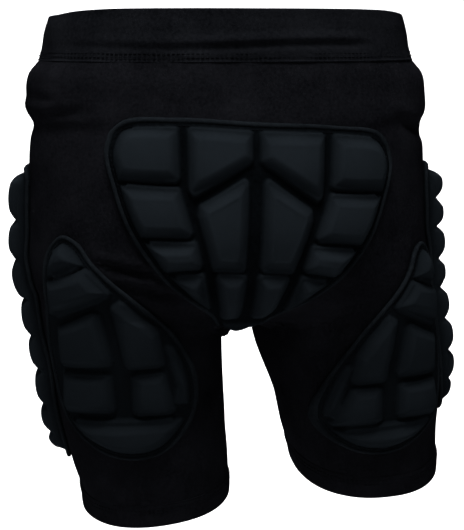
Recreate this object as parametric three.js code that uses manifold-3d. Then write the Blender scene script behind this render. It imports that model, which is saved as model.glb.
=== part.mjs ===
// Padded hip protector shorts, worn form, in millimetres with +Z up.
// The padded face that carries the seat pad looks along -Y. The origin is the middle of the waist opening.
import * as THREE from "three";
import Module from "manifold-3d";

const wasm = await Module();
wasm.setup();

// Driving dimensions of the worn garment
const HIP_WIDTH = 330;
const SEAT_DEPTH = 128;
const BELLY_DEPTH = 104;
const RISE = 232;
const THIGH_WIDTH = 146;
const THIGH_SEAT_DEPTH = 98;
const THIGH_FRONT_DEPTH = 88;
const LEG_LENGTH = { left: 152, right: 132 };
const STANCE = 174;
const HEM_SLOPE = { left: { across: 0.1, ahead: 0.03 }, right: { across: 0.03, ahead: 0.15 } };
const WAIST_DROOP = 5;

// Cloth, bands and welts
const CLOTH_WALL = 1.8;
const BAND_HEIGHT = 39;
const BAND_WALL = 3;
const BAND_PROUD = 0.7;
const HEM_HEIGHT = 18;
const HEM_WALL = 2.6;
const HEM_PROUD = 0.5;
const SEAM_GAP = 0.3;
const WELT_WIDTH = 3.4;
const WELT_RISE = 1.6;

// Foam pads. lobe is how far the lobes stand off the cloth, and lean a pad's tilt in degrees.
const UNDERSIDE = { seat: 1.9, thigh: 1.7, hip: 1.4 };
const FLANGE = 2.1;
const GROOVE = 4.7;
const HIP_EDGE = 9;
const SEAT_PAD = { width: 222, height: 176, lobe: 12, lean: 3 };
const THIGH_PAD = {
  width: { left: 116, right: 104 },
  height: 178,
  lobe: 11,
  lean: { left: 0, right: 6 },
};
const HIP_PAD = {
  width: 96,
  height: { left: 248, right: 216 },
  lobe: 16,
  lean: { left: 4, right: 0 },
};

// Mesh fineness
const HALF_STEPS = 18;
const CROTCH_STEPS = 7;
const SPREAD_ROWS = 4;
const LEG_ROWS = 4;
const OUTLINE_STEPS = 30;
const LONGEST_SIDE = 23;
const PROBE_STEP = 0.5;
const CAST_STRIDE = 4;
const HALVINGS = 22;
const SETTLE_PASSES = 6;
const RING_PASSES = 5;
const SMALLEST_SHARE = 1e-6;

// Sections of the torso. drop is a share of RISE, half of half HIP_WIDTH, seat of SEAT_DEPTH
// and belly of BELLY_DEPTH. The side roll is the cloth that bunches above the hip pads.
const TORSO = [
  { drop: -0.1, half: 0.86, seat: 0.77, belly: 0.93 },
  { drop: 0.0, half: 0.885, seat: 0.78, belly: 0.94 },
  { drop: 0.085, half: 0.92, seat: 0.8, belly: 0.96 },
  { drop: 0.13, half: 0.975, seat: 0.82, belly: 0.97 },
  { drop: 0.2, half: 0.99, seat: 0.85, belly: 0.99 },
  { drop: 0.27, half: 0.985, seat: 0.89, belly: 1.0 },
  { drop: 0.3, half: 0.955, seat: 0.905, belly: 1.0 },
  { drop: 0.35, half: 0.97, seat: 0.93, belly: 1.0 },
  { drop: 0.5, half: 0.985, seat: 0.98, belly: 0.99 },
  { drop: 0.66, half: 0.99, seat: 1.0, belly: 0.95 },
  { drop: 0.8, half: 0.97, seat: 0.96, belly: 0.87 },
  { drop: 0.9, half: 0.85, seat: 0.82, belly: 0.72 },
  { drop: 0.97, half: 0.5, seat: 0.52, belly: 0.45 },
  { drop: 1.0, half: 0.1, seat: 0.12, belly: 0.1 },
];

// Sections of each leg. above is a share of RISE over the crotch and below of that leg's length,
// half of half THIGH_WIDTH, seat of THIGH_SEAT_DEPTH, belly of THIGH_FRONT_DEPTH, and out of half STANCE.
const LEGS = {
  left: [
    { above: 0.42, below: 0, half: 0.9, seat: 0.9, belly: 0.9, out: 0.88 },
    { above: 0.2, below: 0, half: 1.0, seat: 1.03, belly: 1.02, out: 0.96 },
    { above: 0.0, below: 0.03, half: 1.0, seat: 0.97, belly: 1.0, out: 0.93 },
    { above: 0, below: 0.2, half: 0.968, seat: 0.91, belly: 0.97, out: 0.894 },
    { above: 0, below: 0.49, half: 0.944, seat: 0.85, belly: 0.93, out: 0.847 },
    { above: 0, below: 0.78, half: 0.89, seat: 0.8, belly: 0.9, out: 0.77 },
    { above: 0, below: 1.0, half: 0.84, seat: 0.77, belly: 0.87, out: 0.72 },
  ],
  right: [
    { above: 0.42, below: 0, half: 0.9, seat: 0.9, belly: 0.9, out: 0.92 },
    { above: 0.2, below: 0, half: 1.0, seat: 1.03, belly: 1.02, out: 1.03 },
    { above: 0.0, below: 0.03, half: 1.04, seat: 0.97, belly: 1.0, out: 1.12 },
    { above: 0, below: 0.22, half: 1.03, seat: 0.91, belly: 0.97, out: 1.178 },
    { above: 0, below: 0.535, half: 0.942, seat: 0.85, belly: 0.93, out: 1.284 },
    { above: 0, below: 0.75, half: 0.89, seat: 0.8, belly: 0.9, out: 1.32 },
    { above: 0, below: 1.0, half: 0.84, seat: 0.77, belly: 0.87, out: 1.37 },
  ],
};

const SIDES = { left: -1, right: 1 };
const crotchZ = -RISE;

// How square the sections are, how softly legs and torso join, and how the crotch seam runs
const ROUNDNESS = 2.25;
const JOIN_SOFTNESS = 20;
const CROTCH_LEAN = 0.25;
const INNER_ARC = THREE.MathUtils.degToRad(112);
const SPLIT_DROP = 0.86;
const SPREAD_DEPTH = 30;
const DROOP_POWER = 8;
const BAND_BULGE = 1.6;

// A table's columns as smooth functions of one coordinate.
function smoothTable(rows, at, columns) {
  const times = rows.map(at);
  const values = rows.flatMap((row) => columns.map((name) => row[name]));
  const curve = new THREE.CubicInterpolant(times, values, columns.length);
  return (t) => {
    const held = THREE.MathUtils.clamp(t, times[0], times[times.length - 1]);
    const found = curve.evaluate(held);
    return Object.fromEntries(columns.map((name, i) => [name, found[i]]));
  };
}

const torsoTable = smoothTable(TORSO, (row) => row.drop * RISE, ["half", "seat", "belly"]);

function torsoSection(z) {
  const row = torsoTable(-z);
  return {
    x: 0,
    half: (row.half * HIP_WIDTH) / 2,
    seat: row.seat * SEAT_DEPTH,
    belly: row.belly * BELLY_DEPTH,
  };
}

const legTables = Object.fromEntries(
  Object.entries(LEGS).map(([side, rows]) => [
    side,
    smoothTable(
      rows,
      (row) => (1 - row.above) * RISE + row.below * LEG_LENGTH[side],
      ["half", "seat", "belly", "out"],
    ),
  ]),
);

function legSection(side, z) {
  const row = legTables[side](-z);
  return {
    x: (SIDES[side] * row.out * STANCE) / 2,
    half: (row.half * THIGH_WIDTH) / 2,
    seat: row.seat * THIGH_SEAT_DEPTH,
    belly: row.belly * THIGH_FRONT_DEPTH,
  };
}

// How far a point is outside one horizontal section, measured along the ray from its middle.
function outsideSection(p, section) {
  const dx = p.x - section.x;
  const depth = p.y < 0 ? section.seat : section.belly;
  const reach = Math.hypot(dx, p.y);
  const share =
    (Math.abs(dx / section.half) ** ROUNDNESS + Math.abs(p.y / depth) ** ROUNDNESS) **
    (1 / ROUNDNESS);
  return share < SMALLEST_SHARE ? -section.half : reach - reach / share;
}

function softMin(a, b, softness) {
  const near = Math.max(softness - Math.abs(a - b), 0) / softness;
  return Math.min(a, b) - (near * near * softness) / 4;
}

// Under 0 inside the wearer's form, 0 on the cloth's outer face, over 0 outside it.
function field(p) {
  const below = Math.max(crotchZ - p.z, 0);
  const torso = outsideSection(p, torsoSection(p.z)) + below;
  const legs = Object.keys(SIDES).map((side) => {
    const top = (LEGS[side][0].above - 1) * RISE;
    return outsideSection(p, legSection(side, p.z)) + Math.max(p.z - top, 0);
  });
  return softMin(softMin(torso, legs[0], JOIN_SOFTNESS), legs[1], JOIN_SOFTNESS);
}

function outwards(p) {
  const slope = ["x", "y", "z"].map((axis) => {
    const ahead = p.clone();
    const behind = p.clone();
    ahead[axis] += PROBE_STEP;
    behind[axis] -= PROBE_STEP;
    return (field(ahead) - field(behind)) / (2 * PROBE_STEP);
  });
  return new THREE.Vector3(...slope);
}

// Moves a point that is near the cloth onto it.
function settle(p) {
  const settled = p.clone();
  for (let pass = 0; pass < SETTLE_PASSES; pass++) {
    const slope = outwards(settled);
    settled.addScaledVector(slope, -field(settled) / slope.lengthSq());
  }
  return settled;
}

// Halves the stretch between a reach inside the form and one outside it, down to the cloth.
function closeIn(at, inside, outside) {
  for (let pass = 0; pass < HALVINGS; pass++) {
    const middle = (inside + outside) / 2;
    if (field(at(middle)) < 0) inside = middle;
    else outside = middle;
  }
  return at(inside);
}

// The first point of the cloth on a ray that starts inside the form.
function castOut(from, direction) {
  const at = (reach) => from.clone().addScaledVector(direction, reach);
  let reach = CAST_STRIDE;
  while (field(at(reach)) < 0) reach += CAST_STRIDE;
  return closeIn(at, reach - CAST_STRIDE, reach);
}

// The first point of the cloth that a pad meets as it is pressed on from outside.
function castIn(from, facing) {
  const at = (reach) => from.clone().addScaledVector(facing, reach);
  let reach = HIP_WIDTH;
  while (field(at(reach)) > 0 && reach > -HIP_WIDTH) reach -= CAST_STRIDE;
  return closeIn(at, reach, reach + CAST_STRIDE);
}

const lift = (p, height) => p.clone().addScaledVector(outwards(p).normalize(), height);

// Direction in a horizontal plane: 0 looks along -Y, and a quarter turn along the side's own X.
const heading = (turn, side) => new THREE.Vector3(SIDES[side] * Math.sin(turn), -Math.cos(turn), 0);

function torsoRing(z) {
  const middle = new THREE.Vector3(torsoSection(z).x, 0, z);
  const half = (side) =>
    Array.from({ length: HALF_STEPS + 1 }, (_, i) =>
      castOut(middle, heading((i / HALF_STEPS) * Math.PI, side)),
    );
  return { left: half("left"), right: half("right") };
}

// The seam under the crotch, from the belly side to the seat side, without its two ends.
function crotchCurve(z) {
  const middle = new THREE.Vector3(0, 0, z);
  return Array.from({ length: CROTCH_STEPS - 1 }, (_, i) => {
    const turn = ((i + 1) / CROTCH_STEPS) * Math.PI;
    const aside = CROTCH_LEAN * Math.sin(turn);
    return castOut(middle, new THREE.Vector3(aside, Math.cos(turn), -Math.sin(turn)));
  });
}

// A leg's ring: the outer stretch from the seat seam to the belly seam, then the inner stretch back.
function legTurns() {
  const outer = Array.from(
    { length: HALF_STEPS + 1 },
    (_, i) => -INNER_ARC / 2 + (i / HALF_STEPS) * (2 * Math.PI - INNER_ARC),
  );
  const inner = Array.from(
    { length: CROTCH_STEPS - 1 },
    (_, i) => 2 * Math.PI - INNER_ARC * 1.5 + ((i + 1) / CROTCH_STEPS) * INNER_ARC,
  );
  return [...outer, ...inner];
}

// The height of a leg's open end at a point, so far back from it.
function legEnd(side, back = 0) {
  const low = crotchZ - LEG_LENGTH[side];
  const { across, ahead } = HEM_SLOPE[side];
  const middle = legSection(side, low).x;
  return (p) => low + back + across * (p.x - middle) + ahead * p.y;
}

function legRing(side, heightAt) {
  return legTurns().map((turn) => {
    let p = new THREE.Vector3(legSection(side, crotchZ).x, 0, 0);
    for (let pass = 0; pass < RING_PASSES; pass++) {
      const z = heightAt(p);
      p = castOut(new THREE.Vector3(legSection(side, z).x, 0, z), heading(turn, side));
    }
    return p;
  });
}

// A growing list of vertices and faces that becomes one closed solid.
class Facets {
  constructor() {
    this.points = [];
    this.faces = [];
  }
  add(points) {
    return points.map((p) => this.points.push(p) - 1);
  }
  // Joins two closed rows of vertex numbers with quads.
  strip(lower, upper) {
    lower.forEach((a, i) => {
      const j = (i + 1) % lower.length;
      this.quad(a, lower[j], upper[j], upper[i]);
    });
  }
  // Splits the quad along its shorter diagonal, so that the facets follow the form.
  quad(a, b, c, d) {
    const [pa, pb, pc, pd] = [a, b, c, d].map((i) => this.points[i]);
    if (pa.distanceTo(pc) < pb.distanceTo(pd)) this.faces.push([a, b, c], [a, c, d]);
    else this.faces.push([a, b, d], [b, c, d]);
  }
  // Closes a row of vertex numbers with a fan round a point.
  cap(row, point) {
    const [centre] = this.add([point]);
    row.forEach((a, i) => this.faces.push([a, row[(i + 1) % row.length], centre]));
  }
  // The faces, turned to look out of the solid.
  outwardFaces() {
    const volume = this.faces.reduce((sum, face) => {
      const [a, b, c] = face.map((i) => this.points[i]);
      return sum + a.dot(b.clone().cross(c));
    }, 0);
    return volume > 0 ? this.faces : this.faces.map(([a, b, c]) => [a, c, b]);
  }
  solid() {
    const vertProperties = new Float32Array(this.points.flatMap((p) => [p.x, p.y, p.z]));
    const triVerts = new Uint32Array(this.outwardFaces().flat());
    return new wasm.Manifold(new wasm.Mesh({ numProp: 3, vertProperties, triVerts }));
  }
}

// Heights of the torso's rings as shares of RISE, closest where the side roll bends
const TORSO_ROWS = [
  0.11, 0.145, 0.2, 0.245, 0.275, 0.3, 0.34, 0.41, 0.49, 0.57, 0.65, 0.72, 0.79, SPLIT_DROP,
];

// Rings over the whole cloth: the torso's, then each leg's from the crotch seam down to its hem.
const seamTop = -BAND_HEIGHT / 2 - SEAM_GAP;
const torsoRings = [seamTop, ...TORSO_ROWS.map((drop) => -drop * RISE)].map(torsoRing);
const crotchSeam = crotchCurve(-SPLIT_DROP * RISE);
const legRings = Object.keys(SIDES).map((side) => {
  const spreadZ = crotchZ - SPREAD_DEPTH;
  const top = [...torsoRings[torsoRings.length - 1][side], ...crotchSeam];
  const spread = legRing(side, () => spreadZ);
  const hem = legEnd(side, HEM_HEIGHT + SEAM_GAP);
  const rings = [];
  for (let i = 1; i < SPREAD_ROWS; i++) {
    rings.push(top.map((p, k) => settle(p.clone().lerp(spread[k], i / SPREAD_ROWS))));
  }
  rings.push(spread);
  for (let i = 1; i <= LEG_ROWS; i++) {
    rings.push(legRing(side, (p) => spreadZ + ((hem(p) - spreadZ) * i) / LEG_ROWS));
  }
  return { side, rings };
});

// One skin of the cloth at a height over its outer face. Gives back its three open rims.
function addSkin(facets, height, turned) {
  const strip = (lower, upper, mirrored) =>
    turned === mirrored ? facets.strip(upper, lower) : facets.strip(lower, upper);
  const raise = (points) => facets.add(points.map((p) => lift(p, height)));
  const rings = torsoRings.map(({ left, right }) => {
    const leftRow = raise(left);
    const rightRow = raise(right.slice(1, -1));
    return { left: leftRow, right: [leftRow[0], ...rightRow, leftRow[HALF_STEPS]] };
  });
  const loop = (ring) => [...ring.left, ...ring.right.slice(1, -1).reverse()];
  for (let i = 1; i < rings.length; i++) strip(loop(rings[i]), loop(rings[i - 1]), false);
  const seamRow = raise(crotchSeam);
  const [left, right] = legRings.map(({ side, rings: rows }) => {
    let above = [...rings[rings.length - 1][side], ...seamRow];
    for (const ring of rows) {
      const row = raise(ring);
      strip(row, above, side === "right");
      above = row;
    }
    return above;
  });
  return { waist: loop(rings[0]), left, right };
}

// The cloth of the shorts: an outer skin, an inner skin one wall inside it, and three open rims.
function shortsBody() {
  const facets = new Facets();
  const outer = addSkin(facets, 0, false);
  const inner = addSkin(facets, -CLOTH_WALL, true);
  facets.strip(inner.waist, outer.waist);
  facets.strip(outer.left, inner.left);
  facets.strip(inner.right, outer.right);
  return facets.solid();
}

// The closed form just outside the cloth, which every pad and welt is cut back to.
function clothForm() {
  const facets = new Facets();
  const { waist, left, right } = addSkin(facets, SEAM_GAP, false);
  const middle = (row) =>
    row.reduce((sum, i) => sum.add(facets.points[i]), new THREE.Vector3()).divideScalar(row.length);
  facets.cap([...waist].reverse(), middle(waist));
  facets.cap(left, middle(left));
  facets.cap([...right].reverse(), middle(right));
  return facets.solid();
}

// A band of constant profile round an opening: ringAt gives its points at one height along the cloth.
function band(ringAt, profile) {
  const facets = new Facets();
  const rows = profile.map(({ rise, out }) =>
    facets.add(ringAt(rise).map((p) => lift(p, out))),
  );
  rows.forEach((row, i) => facets.strip(row, rows[(i + 1) % rows.length]));
  return facets.solid();
}

function waistband() {
  const half = BAND_HEIGHT / 2;
  const profile = [
    { rise: -half, out: BAND_PROUD },
    { rise: 0, out: BAND_PROUD * BAND_BULGE },
    { rise: half - BAND_WALL / 2, out: BAND_PROUD },
    { rise: half, out: BAND_PROUD - BAND_WALL / 2 },
    { rise: half - BAND_WALL / 2, out: BAND_PROUD - BAND_WALL },
    { rise: -half, out: BAND_PROUD - BAND_WALL },
  ];
  const ring = (z) => {
    const { left, right } = torsoRing(z);
    const lowered = Math.max(z / half, 0) * WAIST_DROOP;
    const loop = [...left, ...right.slice(1, -1).reverse()];
    loop.forEach((p) => (p.z -= lowered * (p.x / torsoSection(z).half) ** DROOP_POWER));
    return loop;
  };
  return band(ring, profile);
}

function hem(side) {
  const profile = [
    { rise: HEM_HEIGHT, out: HEM_PROUD },
    { rise: HEM_HEIGHT / 2, out: HEM_PROUD * 2 },
    { rise: HEM_WALL / 2, out: HEM_PROUD },
    { rise: 0, out: HEM_PROUD - HEM_WALL / 2 },
    { rise: HEM_WALL / 2, out: HEM_PROUD - HEM_WALL },
    { rise: HEM_HEIGHT, out: HEM_PROUD - HEM_WALL },
  ];
  return band((rise) => legRing(side, legEnd(side, rise)), profile);
}

// A pad's flat layout, thrown onto the cloth along the way it faces.
// turn is the way it faces from -Y, dip how far below level, lean its tilt in its own plane.
class Layout {
  constructor({ turn, dip, lean, middle, mirror }) {
    const angle = THREE.MathUtils.degToRad(turn) * mirror;
    const down = THREE.MathUtils.degToRad(dip);
    const tilt = THREE.MathUtils.degToRad(lean);
    const level = new THREE.Vector3(Math.sin(angle), -Math.cos(angle), 0);
    const across = new THREE.Vector3(Math.cos(angle), Math.sin(angle), 0).multiplyScalar(mirror);
    this.facing = level.clone().multiplyScalar(Math.cos(down));
    this.facing.z = -Math.sin(down);
    const along = new THREE.Vector3(0, 0, Math.cos(down)).addScaledVector(level, Math.sin(down));
    const blend = (a, b, share) => a.clone().multiplyScalar(Math.cos(tilt)).addScaledVector(b, share);
    this.across = blend(across, along, -Math.sin(tilt));
    this.along = blend(along, across, Math.sin(tilt));
    this.middle = middle;
  }
  // The point of the cloth under one place of the layout, raised to a height over it.
  at(place, height) {
    const from = this.middle
      .clone()
      .addScaledVector(this.across, place.x)
      .addScaledVector(this.along, place.y);
    return lift(castIn(from, this.facing), height);
  }
}

const middleOf = (points) =>
  points.reduce((sum, p) => sum.add(p), new THREE.Vector2()).divideScalar(points.length);

// How lobes are shaped: which corners are cut, how far, and the slope and shoulder of their sides
const BLUNT_CORNER = THREE.MathUtils.degToRad(118);
const CUT_LIMIT = 0.3;
const LOBE_SLOPE = 0.16;
const LOBE_SHOULDER = 0.84;
const SIDE_BOW = 0.6;
const SWAP_MARGIN = 1e-6;

// Each sharp corner of a loop becomes two, one cut's length along each side.
function cutCorners(corners, cut) {
  return corners.flatMap((corner, i) => {
    const before = corners[(i + corners.length - 1) % corners.length];
    const after = corners[(i + 1) % corners.length];
    const opening = before.clone().sub(corner).angleTo(after.clone().sub(corner));
    if (opening > BLUNT_CORNER) return [corner];
    const back = Math.min(cut / corner.distanceTo(before), CUT_LIMIT);
    const on = Math.min(cut / corner.distanceTo(after), CUT_LIMIT);
    return [corner.clone().lerp(before, back), corner.clone().lerp(after, on)];
  });
}

// A smooth closed outline through a table's places, evenly spaced and turned to run anticlockwise.
function smoothOutline(rows, width, height, steps) {
  const points = rows.map(
    (row) => new THREE.Vector3(row.across * width, row.along * height, 0),
  );
  const curve = new THREE.CatmullRomCurve3(points, true, "centripetal");
  const spaced = curve.getSpacedPoints(steps).slice(0, -1);
  return anticlockwise(spaced.map((p) => new THREE.Vector2(p.x, p.y)));
}

const anticlockwise = (loop) =>
  THREE.ShapeUtils.isClockWise(loop) ? [...loop].reverse() : loop;

// Moves an anticlockwise loop inwards by a distance.
function inset(loop, distance) {
  return loop.map((p, i) => {
    const before = loop[(i + loop.length - 1) % loop.length];
    const after = loop[(i + 1) % loop.length];
    const run = after.clone().sub(before).normalize();
    return new THREE.Vector2(p.x - run.y * distance, p.y + run.x * distance);
  });
}

// Adds points to a loop's long sides, bowed a little outwards, so that it can follow the cloth.
function divideSides(loop, longest) {
  return loop.flatMap((p, i) => {
    const next = loop[(i + 1) % loop.length];
    const run = next.clone().sub(p);
    const parts = Math.ceil(run.length() / longest);
    const bow = new THREE.Vector2(run.y, -run.x).setLength(SIDE_BOW);
    return Array.from({ length: parts }, (_, k) =>
      p.clone().addScaledVector(run, k / parts).addScaledVector(bow, k > 0 ? 1 : 0),
    );
  });
}

const toward = (loop, middle, share) => loop.map((p) => p.clone().lerp(middle, share));

// Swaps the shared side of neighbouring faces until the faces are as even as they can be.
function evenFaces(faces, spots) {
  const opening = (tip, a, b) =>
    spots[a].clone().sub(spots[tip]).angleTo(spots[b].clone().sub(spots[tip]));
  const third = (face, a, b) => face.find((i) => i !== a && i !== b);
  let swapped = true;
  while (swapped) {
    swapped = false;
    const owners = new Map();
    faces.forEach((face, f) =>
      face.forEach((a, i) => owners.set(`${a} ${face[(i + 1) % 3]}`, f)),
    );
    for (const [side, f] of owners) {
      const [a, b] = side.split(" ").map(Number);
      const g = owners.get(`${b} ${a}`);
      if (g === undefined) continue;
      const c = third(faces[f], a, b);
      const d = third(faces[g], a, b);
      if (opening(c, a, b) + opening(d, a, b) < Math.PI + SWAP_MARGIN) continue;
      faces[f] = [a, d, c];
      faces[g] = [d, b, c];
      swapped = true;
      break;
    }
  }
  return faces;
}

// One foam pad: a flat sheet, cut round each lobe's foot, with the lobes standing on it.
function padBody(layout, outline, { lobes, lobe, underside }) {
  const facets = new Facets();
  const lay = (loop, raised) => facets.add(loop.map((p) => layout.at(p, raised)));
  const feet = lobes.map((corners) =>
    divideSides(cutCorners(anticlockwise(corners), GROOVE), LONGEST_SIDE),
  );
  const spots = [outline, ...feet].flat();
  const sheet = evenFaces(THREE.ShapeUtils.triangulateShape(outline, feet), spots);
  const layer = (raised) => {
    const rows = [outline, ...feet].map((loop) => lay(loop, raised));
    return { rows, faces: sheet.map((face) => face.map((i) => rows.flat()[i])) };
  };
  const top = layer(underside + FLANGE);
  const under = layer(underside);
  facets.faces.push(...top.faces, ...under.faces.map(([a, b, c]) => [a, c, b]));
  facets.strip(under.rows[0], top.rows[0]);
  feet.forEach((loop, i) => {
    const middle = middleOf(loop);
    const shoulder = lay(toward(loop, middle, LOBE_SLOPE), lobe * LOBE_SHOULDER);
    facets.strip(top.rows[i + 1], shoulder);
    facets.cap(shoulder, layout.at(middle, lobe));
    facets.cap([...under.rows[i + 1]].reverse(), layout.at(middle, underside));
  });
  return facets.solid();
}

// The raised welt that runs round a pad.
function padWelt(layout, outline, underside) {
  const profile = [
    { across: 0, raised: underside },
    { across: 0.25, raised: underside + WELT_RISE },
    { across: 0.75, raised: underside + WELT_RISE },
    { across: 1, raised: underside },
  ];
  const facets = new Facets();
  const rows = profile.map(({ across, raised }) =>
    facets.add(inset(outline, across * WELT_WIDTH).map((p) => layout.at(p, raised))),
  );
  rows.forEach((row, i) => facets.strip(row, rows[(i + 1) % rows.length]));
  return facets.solid();
}

const places = (corners, width, height) =>
  corners.map(([across, along]) => new THREE.Vector2(across * width, along * height));

// Outlines and lobes as shares of each pad's width and height, from its middle.
const SEAT_HALF = [
  { across: 0, along: 0.5 },
  { across: 0.27, along: 0.49 },
  { across: 0.45, along: 0.44 },
  { across: 0.5, along: 0.324 },
  { across: 0.47, along: 0.176 },
  { across: 0.424, along: 0.051 },
  { across: 0.325, along: -0.097 },
  { across: 0.232, along: -0.193 },
  { across: 0.13, along: -0.28 },
  { across: 0.085, along: -0.37 },
  { across: 0.058, along: -0.45 },
  { across: 0, along: -0.5 },
];
const SEAT_LOBES = {
  top_inner: [[0.011, 0.46], [0.234, 0.455], [0.23, 0.24], [0.207, 0.224], [0.011, 0.352]],
  top_outer: [
    [0.259, 0.455], [0.405, 0.426], [0.464, 0.352], [0.464, 0.284], [0.448, 0.241], [0.252, 0.267],
  ],
  centre: [[0.022, 0.307], [0.194, 0.188], [0.198, 0.142], [0.142, -0.048], [0.022, -0.048]],
  outer_second: [[0.252, 0.236], [0.441, 0.213], [0.387, 0.054], [0.2, 0.071]],
  outer_third: [[0.191, 0.043], [0.367, 0.026], [0.306, -0.065], [0.165, -0.051]],
  outer_fourth: [[0.16, -0.078], [0.288, -0.091], [0.207, -0.176], [0.124, -0.244]],
  low_centre: [[0.016, -0.071], [0.135, -0.071], [0.099, -0.222], [0.068, -0.267], [0.016, -0.273]],
};
const SEAT_TAIL = [
  [-0.055, -0.305], [0.055, -0.305], [0.045, -0.37], [0.02, -0.42], [-0.02, -0.42], [-0.045, -0.37],
];
const SEAT_LEFT = 0.968;
const THIGH_OUTLINE = [
  { across: 0.33, along: 0.5 },
  { across: 0.46, along: 0.4 },
  { across: 0.5, along: 0.15 },
  { across: 0.5, along: -0.12 },
  { across: 0.42, along: -0.31 },
  { across: 0.25, along: -0.43 },
  { across: -0.02, along: -0.5 },
  { across: -0.28, along: -0.475 },
  { across: -0.45, along: -0.35 },
  { across: -0.5, along: -0.2 },
  { across: -0.46, along: -0.03 },
  { across: -0.29, along: 0.17 },
  { across: 0.09, along: 0.395 },
  { across: 0.21, along: 0.48 },
];
const THIGH_LOBES = {
  tip: [[0.3, 0.452], [0.385, 0.425], [0.392, 0.312], [0.14, 0.372]],
  second: [[0.41, 0.286], [0.39, 0.135], [-0.055, 0.267], [0.106, 0.358]],
  third_outer: [[0.36, 0.101], [0.37, -0.076], [-0.002, -0.043], [0.07, 0.197]],
  third_inner: [[-0.02, 0.21], [-0.081, -0.053], [-0.315, -0.051], [-0.242, 0.14], [-0.097, 0.239]],
  fourth_outer: [[0.348, -0.113], [0.336, -0.287], [0.004, -0.266], [0.017, -0.093]],
  fourth_inner: [[-0.119, -0.092], [-0.118, -0.275], [-0.365, -0.275], [-0.313, -0.09]],
  crescent: [
    [0.33, -0.327], [0.138, -0.42], [-0.093, -0.454], [-0.28, -0.412], [-0.385, -0.305],
  ],
  sliver: [
    [-0.345, -0.06], [-0.37, -0.17], [-0.392, -0.25], [-0.425, -0.22], [-0.438, -0.15], [-0.428, -0.08],
    [-0.34, 0.03],
  ],
};

// How far a thigh pad's rows have sunk where its leg stands out, as shares of its height
const THIGH_SAG = {
  left: [
    { along: -0.5, down: 0 },
    { along: 0.5, down: 0 },
  ],
  right: [
    { along: -0.5, down: 0 },
    { along: -0.28, down: 0.05 },
    { along: 0, down: 0.08 },
    { along: 0.3, down: 0.07 },
    { along: 0.5, down: 0.05 },
  ],
};
const HIP_OUTLINE = [
  { across: -0.5, along: 0.42 },
  { across: -0.43, along: 0.487 },
  { across: 0, along: 0.5 },
  { across: 0.43, along: 0.487 },
  { across: 0.5, along: 0.42 },
  { across: 0.51, along: 0.05 },
  { across: 0.5, along: -0.3 },
  { across: 0.44, along: -0.43 },
  { across: 0.3, along: -0.488 },
  { across: 0, along: -0.5 },
  { across: -0.3, along: -0.488 },
  { across: -0.44, along: -0.43 },
  { across: -0.5, along: -0.3 },
  { across: -0.51, along: 0.05 },
];

// Lower end of each row of hip lobes on the left and right pad, as shares of the pad's height from
// its top, and how far its lobes reach, as a share of the pad's width.
const HIP_ROWS = [
  { left: 0.16, right: 0.125, reach: 0.38 },
  { left: 0.285, right: 0.235, reach: 0.42 },
  { left: 0.415, right: 0.355, reach: 0.42 },
  { left: 0.54, right: 0.48, reach: 0.42 },
  { left: 0.66, right: 0.605, reach: 0.42 },
  { left: 0.78, right: 0.73, reach: 0.42 },
  { left: 0.88, right: 0.85, reach: 0.37 },
  { left: 0.95, right: 0.94, reach: 0.27 },
];
const SQUARE = [[0, 0], [1, 0], [1, 1], [0, 1]];

// Two lobes a row, on both sides of a groove up the middle.
function hipLobes(side) {
  const height = HIP_PAD.height[side];
  let top = HIP_EDGE;
  return HIP_ROWS.flatMap((row) => {
    const low = row[side] * height;
    const levels = [height / 2 - top, height / 2 - low];
    top = low + GROOVE;
    return [-1, 1].map((way) => {
      const reach = [(GROOVE / 2) * way, row.reach * HIP_PAD.width * way];
      return SQUARE.map(([i, k]) => new THREE.Vector2(reach[i], levels[k]));
    });
  });
}

const mirrorRows = (rows, share) => [
  ...rows,
  ...rows.slice(1, -1).reverse().map((row) => ({ across: -share * row.across, along: row.along })),
];

// Where each pad sits. turn is the way it faces from -Y and dip how far below level, in degrees.
// across and ahead are shares of half HIP_WIDTH, and drop a share of RISE, to the pad's middle,
// but for the hip pads to their top.
const PAD_SEATS = {
  seat: { turn: 0, dip: 20, across: -0.03, ahead: 0, drop: 0.5 },
  thigh: {
    left: { turn: 20, dip: 0, across: -0.442, ahead: 0, drop: 1.03 },
    right: { turn: 20, dip: 0, across: 0.521, ahead: 0, drop: 1.06 },
  },
  hip: {
    left: { turn: 113, dip: 0, across: -0.055, ahead: -0.133, drop: 0.448 },
    right: { turn: 113, dip: 0, across: 0.145, ahead: -0.34, drop: 0.448 },
  },
};

function padLayout({ turn, dip, across, ahead, drop }, lean, mirror, hung = 0) {
  const half = HIP_WIDTH / 2;
  const middle = new THREE.Vector3(across * half, ahead * half, -drop * RISE - hung);
  return new Layout({ turn, dip, lean, middle, mirror });
}

function seatPad() {
  const { width, height, lobe, lean } = SEAT_PAD;
  const lobes = Object.values(SEAT_LOBES).flatMap((corners) => {
    const right = places(corners, width, height);
    const left = right.map((p) => new THREE.Vector2(-SEAT_LEFT * p.x, p.y));
    return [right, left];
  });
  lobes.push(places(SEAT_TAIL, width, height));
  return {
    name: "seat_pad",
    layout: padLayout(PAD_SEATS.seat, lean, 1),
    outline: smoothOutline(mirrorRows(SEAT_HALF, SEAT_LEFT), width, height, OUTLINE_STEPS),
    lobes,
    lobe,
    underside: UNDERSIDE.seat,
  };
}

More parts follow.
